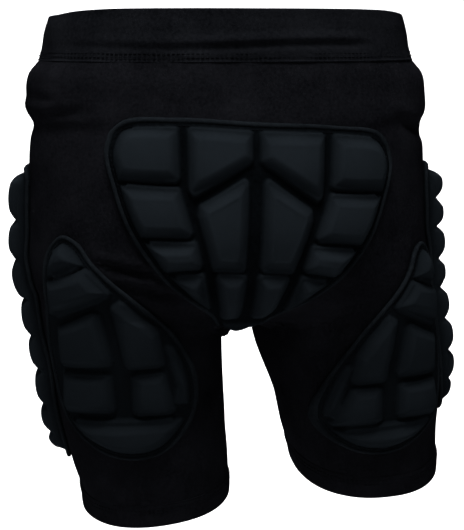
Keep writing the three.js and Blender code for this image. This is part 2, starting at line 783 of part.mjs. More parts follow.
function thighPad(side) {
  const { width, height, lobe, lean } = THIGH_PAD;
  const sag = smoothTable(THIGH_SAG[side], (row) => row.along, ["down"]);
  const outline = THIGH_OUTLINE.map(({ across, along }) => ({
    across,
    along: along - sag(along).down,
  }));
  const sunk = (corners) => corners.map(([across, along]) => [across, along - sag(along).down]);
  return {
    name: `thigh_pad_${side}`,
    layout: padLayout(PAD_SEATS.thigh[side], -lean[side], SIDES[side]),
    outline: smoothOutline(outline, width[side], height, OUTLINE_STEPS),
    lobes: Object.values(THIGH_LOBES).map((corners) => places(sunk(corners), width[side], height)),
    lobe,
    underside: UNDERSIDE.thigh,
  };
}

function hipPad(side) {
  const { width, height, lobe, lean } = HIP_PAD;
  return {
    name: `hip_pad_${side}`,
    layout: padLayout(PAD_SEATS.hip[side], -lean[side], SIDES[side], height[side] / 2),
    outline: smoothOutline(HIP_OUTLINE, width, height[side], OUTLINE_STEPS),
    lobes: hipLobes(side),
    lobe,
    underside: UNDERSIDE.hip,
  };
}

const material = (color, roughness) =>
  new THREE.MeshStandardMaterial({ color, roughness, metalness: 0 });
const cloth = material(0x101114, 0.85);
const trim = material(0x121316, 0.8);
const foam = material(0x1b1e23, 0.7);
const cord = material(0x16181b, 0.75);

const shorts = new THREE.Group();
function place(name, solid, finish) {
  const { vertProperties, triVerts } = solid.getMesh();
  const geometry = new THREE.BufferGeometry();
  geometry.setAttribute("position", new THREE.BufferAttribute(vertProperties, 3));
  geometry.setIndex(new THREE.BufferAttribute(triVerts, 1));
  const mesh = new THREE.Mesh(geometry, finish);
  mesh.name = name;
  shorts.add(mesh);
}

place("shorts_body", shortsBody(), cloth);
place("waistband", waistband(), trim);
place("hem_left", hem("left"), trim);
place("hem_right", hem("right"), trim);

const form = clothForm();
const sides = Object.keys(SIDES);
for (const pad of [seatPad(), ...sides.map(thighPad), ...sides.map(hipPad)]) {
  const { name, layout, outline, underside } = pad;
  const inner = inset(outline, WELT_WIDTH + SEAM_GAP);
  place(name, padBody(layout, inner, pad).subtract(form), foam);
  place(`${name}_edging`, padWelt(layout, outline, underside).subtract(form), cord);
}

export default shorts;
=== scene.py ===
import math

import bpy
import numpy as np
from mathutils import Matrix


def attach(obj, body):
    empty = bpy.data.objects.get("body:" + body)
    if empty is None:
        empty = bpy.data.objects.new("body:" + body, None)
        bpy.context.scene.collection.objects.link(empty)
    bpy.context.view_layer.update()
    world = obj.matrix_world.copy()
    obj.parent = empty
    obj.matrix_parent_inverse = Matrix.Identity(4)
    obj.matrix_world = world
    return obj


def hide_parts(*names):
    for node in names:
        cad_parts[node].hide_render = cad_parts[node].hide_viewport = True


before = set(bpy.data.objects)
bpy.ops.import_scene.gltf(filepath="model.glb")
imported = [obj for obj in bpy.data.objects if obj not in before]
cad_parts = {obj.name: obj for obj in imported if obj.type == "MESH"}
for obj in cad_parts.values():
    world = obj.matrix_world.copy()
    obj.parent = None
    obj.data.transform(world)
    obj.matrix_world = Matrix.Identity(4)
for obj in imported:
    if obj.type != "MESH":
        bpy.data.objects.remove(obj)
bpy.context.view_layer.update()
MM = 0.001

# Driving sizes, as in the part's source
HIP_WIDTH = 330
SEAT_DEPTH = 128
BELLY_DEPTH = 104
RISE = 232
THIGH_WIDTH = 146
THIGH_SEAT_DEPTH = 98
THIGH_FRONT_DEPTH = 88
LEG_LENGTH = {"left": 152, "right": 132}
STANCE = 174
HEM_SLOPE = {"left": (0.1, 0.03), "right": (0.03, 0.15)}
WAIST_DROOP = 5
CLOTH_WALL = 1.8
BAND_HEIGHT = 39
BAND_WALL = 3
HEM_HEIGHT = 18
HEM_WALL = 2.6
GROOVE = 4.7
HIP_EDGE = 9
SIDES = {"left": -1, "right": 1}
ROUNDNESS = 2.25
JOIN_SOFTNESS = 20
CROTCH_LEAN = 0.25
INNER_ARC = math.radians(112)
SPLIT_DROP = 0.86
SPREAD_DEPTH = 30
DROOP_POWER = 8
CROTCH_Z = -RISE

# drop, half, seat, belly
TORSO = [
    (-0.1, 0.86, 0.77, 0.93),
    (0.0, 0.885, 0.78, 0.94),
    (0.085, 0.92, 0.8, 0.96),
    (0.13, 0.975, 0.82, 0.97),
    (0.2, 0.99, 0.85, 0.99),
    (0.27, 0.985, 0.89, 1.0),
    (0.3, 0.955, 0.905, 1.0),
    (0.35, 0.97, 0.93, 1.0),
    (0.5, 0.985, 0.98, 0.99),
    (0.66, 0.99, 1.0, 0.95),
    (0.8, 0.97, 0.96, 0.87),
    (0.9, 0.85, 0.82, 0.72),
    (0.97, 0.5, 0.52, 0.45),
    (1.0, 0.1, 0.12, 0.1),
]

# above, below, half, seat, belly, out
LEGS = {
    "left": [
        (0.42, 0, 0.9, 0.9, 0.9, 0.88),
        (0.2, 0, 1.0, 1.03, 1.02, 0.96),
        (0.0, 0.03, 1.0, 0.97, 1.0, 0.93),
        (0, 0.2, 0.968, 0.91, 0.97, 0.894),
        (0, 0.49, 0.944, 0.85, 0.93, 0.847),
        (0, 0.78, 0.89, 0.8, 0.9, 0.77),
        (0, 1.0, 0.84, 0.77, 0.87, 0.72),
    ],
    "right": [
        (0.42, 0, 0.9, 0.9, 0.9, 0.92),
        (0.2, 0, 1.0, 1.03, 1.02, 1.03),
        (0.0, 0.03, 1.04, 0.97, 1.0, 1.12),
        (0, 0.22, 1.03, 0.91, 0.97, 1.178),
        (0, 0.535, 0.942, 0.85, 0.93, 1.284),
        (0, 0.75, 0.89, 0.8, 0.9, 1.32),
        (0, 1.0, 0.84, 0.77, 0.87, 1.37),
    ],
}


def smooth_columns(times, rows, step=0.25):
    """Fine tables of smooth curves through the rows."""
    times = np.array(times, float)
    values = np.array(rows, float)
    before = np.concatenate([[2 * times[0] - times[1]], times[:-1]])
    after = np.concatenate([times[1:], [2 * times[-1] - times[-2]]])
    fine = np.arange(times[0], times[-1] + step, step)
    i = np.clip(np.searchsorted(times, fine, side="right") - 1, 0, len(times) - 2)
    j = i + 1
    span = times[j] - times[i]
    t = np.clip((fine - times[i]) / span, 0, 1)[:, None]
    lead = (span / 2 / (times[i] - before[i]))[:, None]
    trail = (span / 2 / (after[j] - times[j]))[:, None]
    first = values[np.where(i > 0, i - 1, 1)]
    last = values[np.where(j < len(times) - 1, j + 1, len(times) - 2)]
    found = (
        (-lead * t**3 + 2 * lead * t**2 - lead * t) * first
        + ((1 + lead) * t**3 + (-1.5 - 2 * lead) * t**2 + (-0.5 + lead) * t + 1) * values[i]
        + ((-1 - trail) * t**3 + (1.5 + trail) * t**2 + 0.5 * t) * values[j]
        + (trail * t**3 - trail * t**2) * last
    )
    return fine, found


torso_curves = smooth_columns([row[0] * RISE for row in TORSO], [row[1:] for row in TORSO])
leg_curves = {
    side: smooth_columns(
        [(1 - row[0]) * RISE + row[1] * LEG_LENGTH[side] for row in rows],
        [row[2:] for row in rows],
    )
    for side, rows in LEGS.items()
}


def columns(curves, z):
    """Each column of a fine table at the heights z."""
    fine, found = curves
    return [np.interp(-z, fine, found[:, k]) for k in range(found.shape[1])]


def leg_middle(side, z):
    """How far across a leg's middle line is at the heights z."""
    return SIDES[side] * columns(leg_curves[side], np.asarray(z, float))[3] * STANCE / 2


def outside_section(p, x, half, seat, belly):
    """Distance from a level, rounded section, measured from its middle, under 0 inside it."""
    dx = p[:, 0] - x
    depth = np.where(p[:, 1] < 0, seat, belly)
    reach = np.hypot(dx, p[:, 1])
    across, ahead = np.abs(dx / half), np.abs(p[:, 1] / depth)
    share = (across**ROUNDNESS + ahead**ROUNDNESS) ** (1 / ROUNDNESS)
    return reach - reach / np.maximum(share, 1e-6)


def soft_min(a, b, softness):
    """The smaller of two distances, rounded where they are nearly the same."""
    near = np.maximum(softness - np.abs(a - b), 0) / softness
    return np.minimum(a, b) - near * near * softness / 4


def field(p):
    """Under 0 inside the wearer's form, 0 on the cloth's outer face, over 0 outside it."""
    z = p[:, 2]
    half, seat, belly = columns(torso_curves, z)
    torso = outside_section(p, 0, half * HIP_WIDTH / 2, seat * SEAT_DEPTH, belly * BELLY_DEPTH)
    found = torso + np.maximum(CROTCH_Z - z, 0)
    for side, sign in SIDES.items():
        half, seat, belly, out = columns(leg_curves[side], z)
        top = (LEGS[side][0][0] - 1) * RISE
        leg = outside_section(
            p,
            sign * out * STANCE / 2,
            half * THIGH_WIDTH / 2,
            seat * THIGH_SEAT_DEPTH,
            belly * THIGH_FRONT_DEPTH,
        )
        found = soft_min(found, leg + np.maximum(z - top, 0), JOIN_SOFTNESS)
    return found


def slope(p, step=0.5):
    """How fast the field grows along each axis."""
    found = []
    for axis in np.eye(3) * step:
        found.append((field(p + axis) - field(p - axis)) / (2 * step))
    return np.stack(found, axis=1)


def normals(p):
    """The way straight out of the form."""
    found = slope(p)
    return found / np.linalg.norm(found, axis=1, keepdims=True)


# Rounds of the searches for the cloth, and the strides in millimetres that they start with
SETTLE_ROUNDS = 6
HALVINGS = 20
OUT_STRIDE = 4.0
OUT_STRIDES = 60
IN_START = 240.0
IN_STRIDE = 3.0
IN_STRIDES = 160
RING_ROUNDS = 5


def settle(p):
    """Points moved straight onto the cloth."""
    for _ in range(SETTLE_ROUNDS):
        found = slope(p)
        p = p - found * (field(p) / (found**2).sum(1))[:, None]
    return p


def close_in(start, way, inside, outside):
    """Where rays cross the cloth, between a reach inside the form and one outside it."""
    for _ in range(HALVINGS):
        middle = (inside + outside) / 2
        within = field(start + way * middle[:, None]) < 0
        inside = np.where(within, middle, inside)
        outside = np.where(within, outside, middle)
    return start + way * inside[:, None]


def cast_out(start, way):
    """Where rays that start inside the form reach the cloth."""
    reach = np.full(len(start), OUT_STRIDE)
    for _ in range(OUT_STRIDES):
        reach = np.where(field(start + way * reach[:, None]) < 0, reach + OUT_STRIDE, reach)
    return close_in(start, way, reach - OUT_STRIDE, reach)


def cast_in(start, facing):
    """Where a pad meets the cloth as it is pressed on from outside."""
    reach = np.full(len(start), IN_START)
    way = np.broadcast_to(facing, start.shape)
    for _ in range(IN_STRIDES):
        reach = np.where(field(start + way * reach[:, None]) > 0, reach - IN_STRIDE, reach)
    return close_in(start, way, reach, reach + IN_STRIDE)


def headings(turns, sign):
    """Level ways at turns from the seat's middle, to the left or right."""
    return np.stack([sign * np.sin(turns), -np.cos(turns), np.zeros_like(turns)], axis=1)


# Fineness of the shown meshes
HALF_STEPS = 100
CROTCH_STEPS = 36
TORSO_STEPS = 60
SPREAD_STEPS = 14
LEG_STEPS = 36
BAND_HALF_STEPS = 160
HEM_STEPS = (120, 34)


def torso_ring(z, steps=HALF_STEPS):
    """A whole ring round the torso, from the seat over the left side to the belly and back."""
    turns = np.arange(2 * steps) / steps * math.pi
    start = np.tile([0.0, 0.0, z], (len(turns), 1))
    return cast_out(start, headings(turns, SIDES["left"]))


def crotch_curve(z):
    """The line under the crotch from the belly to the seat, without its ends."""
    turns = np.arange(1, CROTCH_STEPS) / CROTCH_STEPS * math.pi
    way = np.stack([CROTCH_LEAN * np.sin(turns), np.cos(turns), -np.sin(turns)], axis=1)
    return cast_out(np.tile([0.0, 0.0, z], (len(turns), 1)), way)


def leg_turns(outer_steps=HALF_STEPS, inner_steps=CROTCH_STEPS):
    """Turns round a leg: the outer arc that the torso continues, then the arc at the crotch."""
    outer = -INNER_ARC / 2 + np.arange(outer_steps + 1) / outer_steps * (2 * math.pi - INNER_ARC)
    inner = 2 * math.pi - INNER_ARC * 1.5 + np.arange(1, inner_steps) / inner_steps * INNER_ARC
    return np.concatenate([outer, inner])


def leg_end(side, back=0.0):
    """The height of a leg's sloping end, or of a line so far above it, at given points."""
    low = CROTCH_Z - LEG_LENGTH[side]
    across, ahead = HEM_SLOPE[side]
    middle = leg_middle(side, low)
    return lambda p: low + back + across * (p[:, 0] - middle) + ahead * p[:, 1]


def leg_ring(side, height_at, turns=None):
    """A ring round a leg at heights that depend on where its points are."""
    turns = leg_turns() if turns is None else turns
    p = np.tile([float(leg_middle(side, CROTCH_Z)), 0.0, 0.0], (len(turns), 1))
    for _ in range(RING_ROUNDS):
        z = height_at(p)
        start = np.stack([leg_middle(side, z), np.zeros(len(turns)), z], axis=1)
        p = cast_out(start, headings(turns, SIDES[side]))
    return p


# Pads: outlines and lobes as shares of each pad's width and height, from its middle
SEAT_HALF = [
    (0, 0.5),
    (0.27, 0.49),
    (0.45, 0.44),
    (0.5, 0.324),
    (0.47, 0.176),
    (0.424, 0.051),
    (0.325, -0.097),
    (0.232, -0.193),
    (0.13, -0.28),
    (0.085, -0.37),
    (0.058, -0.45),
    (0, -0.5),
]
SEAT_LOBES = [
    [(0.011, 0.46), (0.234, 0.455), (0.23, 0.24), (0.207, 0.224), (0.011, 0.352)],
    [(0.259, 0.455), (0.405, 0.426), (0.464, 0.352), (0.464, 0.284), (0.448, 0.241), (0.252, 0.267)],
    [(0.022, 0.307), (0.194, 0.188), (0.198, 0.142), (0.142, -0.048), (0.022, -0.048)],
    [(0.252, 0.236), (0.441, 0.213), (0.387, 0.054), (0.2, 0.071)],
    [(0.191, 0.043), (0.367, 0.026), (0.306, -0.065), (0.165, -0.051)],
    [(0.16, -0.078), (0.288, -0.091), (0.207, -0.176), (0.124, -0.244)],
    [(0.016, -0.071), (0.135, -0.071), (0.099, -0.222), (0.068, -0.267), (0.016, -0.273)],
]
SEAT_TAIL = [(-0.15, -0.35), (0.15, -0.35), (0.12, -0.45), (0.05, -0.5), (-0.05, -0.5), (-0.12, -0.45)]
SEAT_LEFT = 0.968
THIGH_OUTLINE = [
    (0.33, 0.5),
    (0.46, 0.4),
    (0.5, 0.15),
    (0.5, -0.12),
    (0.42, -0.31),
    (0.25, -0.43),
    (-0.02, -0.5),
    (-0.28, -0.475),
    (-0.45, -0.35),
    (-0.5, -0.2),
    (-0.46, -0.03),
    (-0.29, 0.17),
    (0.09, 0.395),
    (0.21, 0.48),
]
THIGH_LOBES = [
    [(0.3, 0.452), (0.385, 0.425), (0.392, 0.312), (0.14, 0.372)],
    [(0.41, 0.286), (0.39, 0.135), (-0.055, 0.267), (0.106, 0.358)],
    [(0.36, 0.101), (0.37, -0.076), (-0.002, -0.043), (0.07, 0.197)],
    [(-0.02, 0.21), (-0.081, -0.053), (-0.315, -0.051), (-0.242, 0.14), (-0.097, 0.239)],
    [(0.348, -0.113), (0.336, -0.287), (0.004, -0.266), (0.017, -0.093)],
    [(-0.119, -0.092), (-0.118, -0.275), (-0.365, -0.275), (-0.313, -0.09)],
    [(0.33, -0.327), (0.138, -0.42), (-0.093, -0.454), (-0.28, -0.412), (-0.385, -0.305)],
    [
        (-0.345, -0.06), (-0.37, -0.17), (-0.392, -0.25), (-0.425, -0.22), (-0.438, -0.15),
        (-0.428, -0.08), (-0.34, 0.03),
    ],
]

# How far a thigh pad's rows have sunk: along, down
THIGH_SAG = {
    "left": [(-0.5, 0), (0.5, 0)],
    "right": [(-0.5, 0), (-0.28, 0.05), (0, 0.08), (0.3, 0.07), (0.5, 0.05)],
}
HIP_OUTLINE = [
    (-0.5, 0.42),
    (-0.43, 0.487),
    (0, 0.5),
    (0.43, 0.487),
    (0.5, 0.42),
    (0.51, 0.05),
    (0.5, -0.3),
    (0.44, -0.43),
    (0.3, -0.488),
    (0, -0.5),
    (-0.3, -0.488),
    (-0.44, -0.43),
    (-0.5, -0.3),
    (-0.51, 0.05),
]

# Lower end of each row of hip lobes on the left and right pad, and how far its lobes reach
HIP_ROWS = [
    (0.16, 0.125, 0.38),
    (0.285, 0.235, 0.42),
    (0.415, 0.355, 0.42),
    (0.54, 0.48, 0.42),
    (0.66, 0.605, 0.42),
    (0.78, 0.73, 0.42),
    (0.88, 0.85, 0.37),
    (0.95, 0.94, 0.27),
]

# Each pad's width, height, lobe height, lean, turn, dip, across, ahead, drop, hang and hand
PADS = {
    "seat_pad": (222, 176, 12, 3, 0, 20, -0.03, 0, 0.5, 0, 1),
    "thigh_pad_left": (116, 178, 11, 0, 20, 0, -0.442, 0, 1.03, 0, -1),
    "thigh_pad_right": (104, 178, 11, -6, 20, 0, 0.521, 0, 1.06, 0, 1),
    "hip_pad_left": (96, 248, 16, -4, 113, 0, -0.055, -0.133, 0.448, 124, -1),
    "hip_pad_right": (96, 216, 16, 0, 113, 0, 0.145, -0.34, 0.448, 108, 1),
}

# Points along each kind of outline, and between two corners of a smooth curve
OUTLINE_STEPS = {"seat": 420, "thigh": 320, "hip": 360}
CORNER_STEPS = 40


def kind_of(name):
    """seat, thigh or hip."""
    return name.split("_")[0]


class Layout:
    """A pad's flat layout, thrown onto the cloth along the way it faces."""

    def __init__(self, name):
        lean, turn, dip, across, ahead, drop, hang, hand = PADS[name][3:]
        angle, down, tilt = math.radians(turn) * hand, math.radians(dip), math.radians(lean)
        level = np.array([math.sin(angle), -math.cos(angle), 0])
        side = np.array([math.cos(angle), math.sin(angle), 0]) * hand
        up = np.array([0, 0, math.cos(down)]) + level * math.sin(down)
        self.facing = level * math.cos(down) - np.array([0, 0, math.sin(down)])
        self.across = side * math.cos(tilt) - up * math.sin(tilt)
        self.along = up * math.cos(tilt) + side * math.sin(tilt)
        half = HIP_WIDTH / 2
        self.middle = np.array([across * half, ahead * half, -drop * RISE - hang])

    def at(self, uv, height):
        """Places of the layout, so high over the cloth."""
        start = self.middle + uv[:, :1] * self.across + uv[:, 1:2] * self.along
        p = cast_in(start, self.facing)
        return p + normals(p) * np.reshape(height, (-1, 1))

    def flat(self, p):
        """Where points of the cloth lie in the layout."""
        away = p - self.middle
        return np.stack([away @ self.across, away @ self.along], axis=1)


def anticlockwise(loop):
    turned = np.roll(loop, -1, axis=0)
    area = np.sum(loop[:, 0] * turned[:, 1] - turned[:, 0] * loop[:, 1])
    return loop if area > 0 else loop[::-1]


def closed_run(loop):
    """A loop with its first point again at its end, and how far along it each point lies."""
    closed = np.vstack([loop, loop[:1]])
    lengths = np.linalg.norm(np.diff(closed, axis=0), axis=1)
    return closed, np.concatenate([[0], np.cumsum(lengths)])


def smooth_outline(rows, width, height, steps):
    """A smooth closed curve through a table's places, evenly spaced, anticlockwise."""
    points = np.array(rows, float) * [width, height]
    found = []
    for i in range(len(points)):
        a, b, c, d = (points[(i + k) % len(points)] for k in (-1, 0, 1, 2))
        knots = np.cumsum([0] + [np.linalg.norm(q - p) ** 0.5 for p, q in ((a, b), (b, c), (c, d))])
        t = np.linspace(knots[1], knots[2], CORNER_STEPS, endpoint=False)[:, None]
        ab = a + (b - a) * (t - knots[0]) / (knots[1] - knots[0])
        bc = b + (c - b) * (t - knots[1]) / (knots[2] - knots[1])
        cd = c + (d - c) * (t - knots[2]) / (knots[3] - knots[2])
        abc = ab + (bc - ab) * (t - knots[0]) / (knots[2] - knots[0])
        bcd = bc + (cd - bc) * (t - knots[1]) / (knots[3] - knots[1])
        found.append(abc + (bcd - abc) * (t - knots[1]) / (knots[2] - knots[1]))
    closed, run = closed_run(np.concatenate(found))
    even = np.linspace(0, run[-1], steps, endpoint=False)
    return anticlockwise(np.stack([np.interp(even, run, closed[:, k]) for k in (0, 1)], axis=1))


FAR = 1e9


def signed_distance(p, loop):
    """Distance from points to a closed loop, under 0 inside it."""
    best = np.full(len(p), FAR)
    odd = np.zeros(len(p), bool)
    for a, b in zip(loop, np.roll(loop, -1, axis=0)):
        run = b - a
        t = np.clip(((p - a) @ run) / (run @ run), 0, 1)
        best = np.minimum(best, np.linalg.norm(p - a - t[:, None] * run, axis=1))
        if a[1] != b[1]:
            crosses = (a[1] > p[:, 1]) != (b[1] > p[:, 1])
            odd ^= crosses & (p[:, 0] < (b[0] - a[0]) * (p[:, 1] - a[1]) / (b[1] - a[1]) + a[0])
    return np.where(odd, -best, best)


# Keeps a very sharp corner from moving too far when a polygon shrinks
LEAST_TURN = 0.35


def shrunk(loop, distance):
    """A polygon whose sides are moved inwards, so that rounding it again keeps its size."""
    loop = anticlockwise(loop)
    found = []
    for i in range(len(loop)):
        a, b, c = loop[i - 1], loop[i], loop[(i + 1) % len(loop)]
        u, v = (b - a) / np.linalg.norm(b - a), (c - b) / np.linalg.norm(c - b)
        n, m = np.array([-u[1], u[0]]), np.array([-v[1], v[0]])
        bisector = n + m
        found.append(b + bisector * distance / max((bisector @ n), LEAST_TURN))
    return np.array(found)


def ramp(x, low, high):
    """0 up to low, 1 from high on, and a smooth rise between them."""
    t = np.clip((x - low) / (high - low), 0, 1)
    return t * t * (3 - 2 * t)


def hip_lobes(side):
    """Corners of a hip pad's lobes, two to a row."""
    column = 0 if side == "left" else 1
    width, height = PADS[f"hip_pad_{side}"][:2]
    top, found = HIP_EDGE, []
    for row in HIP_ROWS:
        low = row[column] * height
        for way in (-1, 1):
            x = [GROOVE / 2 * way, row[2] * width * way]
            y = [height / 2 - top, height / 2 - low]
            found.append(np.array([(x[0], y[0]), (x[1], y[0]), (x[1], y[1]), (x[0], y[1])]))
        top = low + GROOVE
    return found


def pad_plan(name):
    """Each pad's outline and its lobes' corners in its flat layout, in millimetres."""
    width, height = PADS[name][:2]
    kind, side = kind_of(name), name.split("_")[-1]
    scale = np.array([width, height])
    if kind == "seat":
        left = [(-SEAT_LEFT * x, y) for x, y in reversed(SEAT_HALF[1:-1])]
        corners = SEAT_HALF + left
        lobes = [np.array(rows) * scale for rows in SEAT_LOBES]
        lobes += [np.array(rows) * scale * [-SEAT_LEFT, 1] for rows in SEAT_LOBES]
        lobes.append(np.array(SEAT_TAIL) * scale)
    elif kind == "thigh":
        sag = np.array(THIGH_SAG[side], float)
        curve = smooth_columns(sag[:, 0], sag[:, 1:], 0.002)
        sunk = lambda rows: [(x, y - np.interp(y, curve[0], curve[1][:, 0])) for x, y in rows]
        corners = sunk(THIGH_OUTLINE)
        lobes = [np.array(sunk(rows)) * scale for rows in THIGH_LOBES]
    else:
        corners = HIP_OUTLINE
        lobes = hip_lobes(side)
    return smooth_outline(corners, width, height, OUTLINE_STEPS[kind]), lobes


# Profile of the pads, in millimetres over the cloth or inwards from an edge
FLANGE_TOP = 3.2
FLANGE_RUN = (0.5, 3.4)
EDGE_DIVE = -0.9
CORNER = 4.6
LOBE_GROWTH = {"seat": (0.8, 2.0), "thigh": (2.2, 2.1), "hip": (0.6, 2.2)}
LOBE_MARGIN = 6.0
LOBE_START = (4.6, 6.6)
EDGE_REACH = 11.0
EDGE_PUSH = 6.0
NEAR = 12.0
WALL_RUN = 1.6
SHOULDER_START = 0.5
SHOULDER_RUN = 8.5
HIP_CORE = 9.5
HIP_ROUND = 7.0
HIP_CORE_EDGE = (4.5, 11.0)
WELT_RADIUS = 1.75
WELT_MIDDLE = 2.3

# The low foam between a seat or thigh pad's lobes: how far it reaches past them, its edge, its share
BRIDGE_GROWTH = (0.2, 3.2)
BRIDGE_RUN = 2.2
BRIDGE_SHARE = 0.42

# Shares of a lobe's rise that its wall and its shoulder take, and how its crown falls off
WALL_SHARE = 0.24
SHOULDER_SHARE = 0.52
SHOULDER_POWER = 1.15
CROWN_REACH = 1.25

# The raised line on a lobe's shoulder, full on the seat's arrow-shaped lobes and faint on the others
RIM = 0.45
RIM_SPREAD = 0.9
FAINT_RIM = 0.3
ARROW_LOBE = 2

# The seat pad's tail: its lobe's share of the rise, and where and how much its edge thins out
TAIL_SHARE = 0.6
TAIL_SPAN = (0.35, 0.43)
TAIL_THIN = 0.5


def lobe_share(inside, crown):
    """How much of its height a lobe has reached: a steep side, a soft shoulder and a crown."""
    wall = ramp(inside, 0, WALL_RUN) * WALL_SHARE
    turn = np.clip((inside - SHOULDER_START) / SHOULDER_RUN, 0, 1) * math.pi / 2
    shoulder = np.sin(turn) ** SHOULDER_POWER
    return wall + shoulder * (SHOULDER_SHARE - WALL_SHARE + crown * (1 - SHOULDER_SHARE))


def grown(corners, growth):
    """A lobe's corners, spread from its middle by so many millimetres across and along."""
    middle = (corners.min(0) + corners.max(0)) / 2
    reach = corners.max(0) - middle
    return middle + (corners - middle) * (reach + growth) / reach


def reached(corners, outline):
    """Corners near the pad's edge, moved past it, so that there the edge alone ends the lobe."""
    step = 0.5
    here = signed_distance(corners, outline)
    across = signed_distance(corners + [step, 0], outline) - here
    along = signed_distance(corners + [0, step], outline) - here
    way = np.stack([across, along], axis=1) / step
    return corners + way * np.where(here > -EDGE_REACH, EDGE_PUSH, 0)[:, None]


def tail_share(name, v):
    """How far a pad's edge thins out where it wraps under the crotch: 1 away from it."""
    if name != "seat_pad":
        return np.ones(len(v))
    return 1 - TAIL_THIN * ramp(-v / PADS[name][1], *TAIL_SPAN)


def hip_lobe(spot, corners, rise):
    """Height of a hip pad's lobe over its core: a bulge, round along the pad and at its sides."""
    wide = grown(corners, LOBE_GROWTH["hip"])
    inside = CORNER - signed_distance(spot, shrunk(wide, CORNER))
    middle = (wide[:, 1].min() + wide[:, 1].max()) / 2
    along = np.abs(spot[:, 1] - middle) / (wide[:, 1].max() - middle)
    share = np.sqrt(np.clip(1 - along**2, 0, 1)) * np.sqrt(np.clip(inside / HIP_ROUND, 0, 1))
    return np.where(inside > 0, rise * share, 0)


def shaped_lobe(spot, edge, corners, wide, rise, rim):
    """Height of a seat or thigh pad's lobe over its flange, with the low foam round its foot."""
    inside = CORNER - signed_distance(spot, shrunk(wide, CORNER))
    inside = np.minimum(inside, edge - LOBE_MARGIN)
    middle = (wide.min(0) + wide.max(0)) / 2
    reach = wide.max(0) - middle
    crown = np.clip(1 - (((spot - middle) / (reach * CROWN_REACH)) ** 2).sum(1), 0, 1)
    line = rim * np.exp(-(((inside - SHOULDER_RUN) / RIM_SPREAD) ** 2))
    top = np.where(inside > 0, rise * lobe_share(inside, crown) + line, 0)
    bridge = CORNER - signed_distance(spot, shrunk(grown(corners, BRIDGE_GROWTH), CORNER))
    base = ramp(bridge, 0, BRIDGE_RUN) * BRIDGE_SHARE * rise
    return np.maximum(top, base) * ramp(edge, *LOBE_START)


def pad_height(name, uv, outline, lobes):
    """Height of a pad's surface over the cloth."""
    kind = kind_of(name)
    edge = -signed_distance(uv, outline)
    flange = FLANGE_TOP * tail_share(name, uv[:, 1]) - EDGE_DIVE
    height = EDGE_DIVE + flange * ramp(edge, *FLANGE_RUN)
    if kind == "hip":
        height += ramp(edge, *HIP_CORE_EDGE) * (HIP_CORE - FLANGE_TOP)
    flat = height.copy()
    for number, corners in enumerate(lobes):
        near = np.all((uv > corners.min(0) - NEAR) & (uv < corners.max(0) + NEAR), axis=1)
        if kind == "hip":
            found = hip_lobe(uv[near], corners, PADS[name][2] - HIP_CORE)
        else:
            rise = PADS[name][2] - FLANGE_TOP
            if kind == "seat" and number == len(lobes) - 1:
                rise *= TAIL_SHARE
            sharp = kind == "seat" and number % len(SEAT_LOBES) == ARROW_LOBE
            wide = reached(grown(corners, LOBE_GROWTH[kind]), outline)
            rim = RIM if sharp else RIM * FAINT_RIM
            found = shaped_lobe(uv[near], edge[near], corners, wide, rise, rim)
        height[near] = np.maximum(height[near], flat[near] + found)
    return height


# Folds of the cloth: from, to (x and z, in millimetres), depth, spread, and the way they face
FOLDS = [
    ((-118, -170), (-62, -179), 6.0, 3.2, -1),
    ((-102, -185), (-46, -197), 5.6, 3.2, -1),
    ((-48, -203), (-24, -217), 2.2, 4.0, -1),
    ((-164, -63), (-122, -57), 3.0, 4.2, -1),
    ((-163, -48), (-138, -52), 1.8, 3.6, -1),
    ((118, -62), (162, -84), 3.0, 4.0, -1),
    ((-140, -26), (-60, -29), 1.2, 4.0, -1),
    ((27, -240), (45, -214), 2.0, 4.5, -1),
    ((22, -262), (46, -292), 1.2, 6.0, -1),
    ((-34, -262), (-52, -300), 1.0, 6.0, -1),
    ((-120, -40), (-60, -52), 1.3, 6.0, 1),
    ((60, -52), (128, -42), 1.3, 6.0, 1),
    ((-20, -196), (-86, -214), 2.0, 6.0, 1),
    ((20, -196), (96, -214), 2.0, 6.0, 1),
    ((-10, -176), (-70, -182), 1.4, 6.0, 1),
    ((12, -178), (76, -184), 1.4, 6.0, 1),
    ((-20, -226), (-50, -262), 1.5, 6.0, 1),
    ((30, -226), (66, -262), 1.5, 6.0, 1),
]

# A fold fades towards its ends, and has a soft roll beside it, so many spreads away
FOLD_MIDDLE = 1.15
FOLD_FADE = 1.6
FLANK = 1.9
FLANK_SHARE = 0.45
FOLD_FACING = (-0.25, 0.1)
RIPPLE = 0.45


def ripples(p):
    """Soft unevenness of worn cloth: three slow waves that cross."""
    x, y, z = p.T
    return RIPPLE * (
        np.sin(x / 17 + np.sin(z / 31) * 1.3) * np.sin(z / 23 + y / 29)
        + 0.6 * np.sin(z / 11 + x / 37 + 1.7) * np.cos(y / 21 + x / 43)
        + 0.4 * np.sin(x / 7.5 - z / 9 + 0.4) * np.sin(y / 13 + z / 19)
    )


def folds(p, facing):
    """How far the folds lift the cloth, or sink it where under 0."""
    found = np.zeros(len(p))
    flat = p[:, [0, 2]]
    for start, end, depth, spread, way in FOLDS:
        a, b = np.array(start, float), np.array(end, float)
        run = b - a
        length = np.linalg.norm(run)
        along = ((flat - a) @ run) / (run @ run)
        beside = flat - a - np.clip(along, 0, 1)[:, None] * run
        away = beside @ np.array([-run[1], run[0]]) / length
        past = np.maximum(np.abs(along - 0.5) - 0.5, 0) * length
        ends = np.exp(-((past / spread) ** 2))
        taper = np.clip(FOLD_MIDDLE - np.abs(along - 0.5) * FOLD_FADE, 0, 1)
        roll = FLANK_SHARE * np.exp(-(((away - FLANK * spread) / spread) ** 2))
        crease = -np.exp(-((away / spread) ** 2)) + roll
        found += depth * crease * ends * taper * ramp(facing * way, *FOLD_FACING)
    return found


plans = {name: pad_plan(name) for name in PADS}
layouts = {name: Layout(name) for name in PADS}

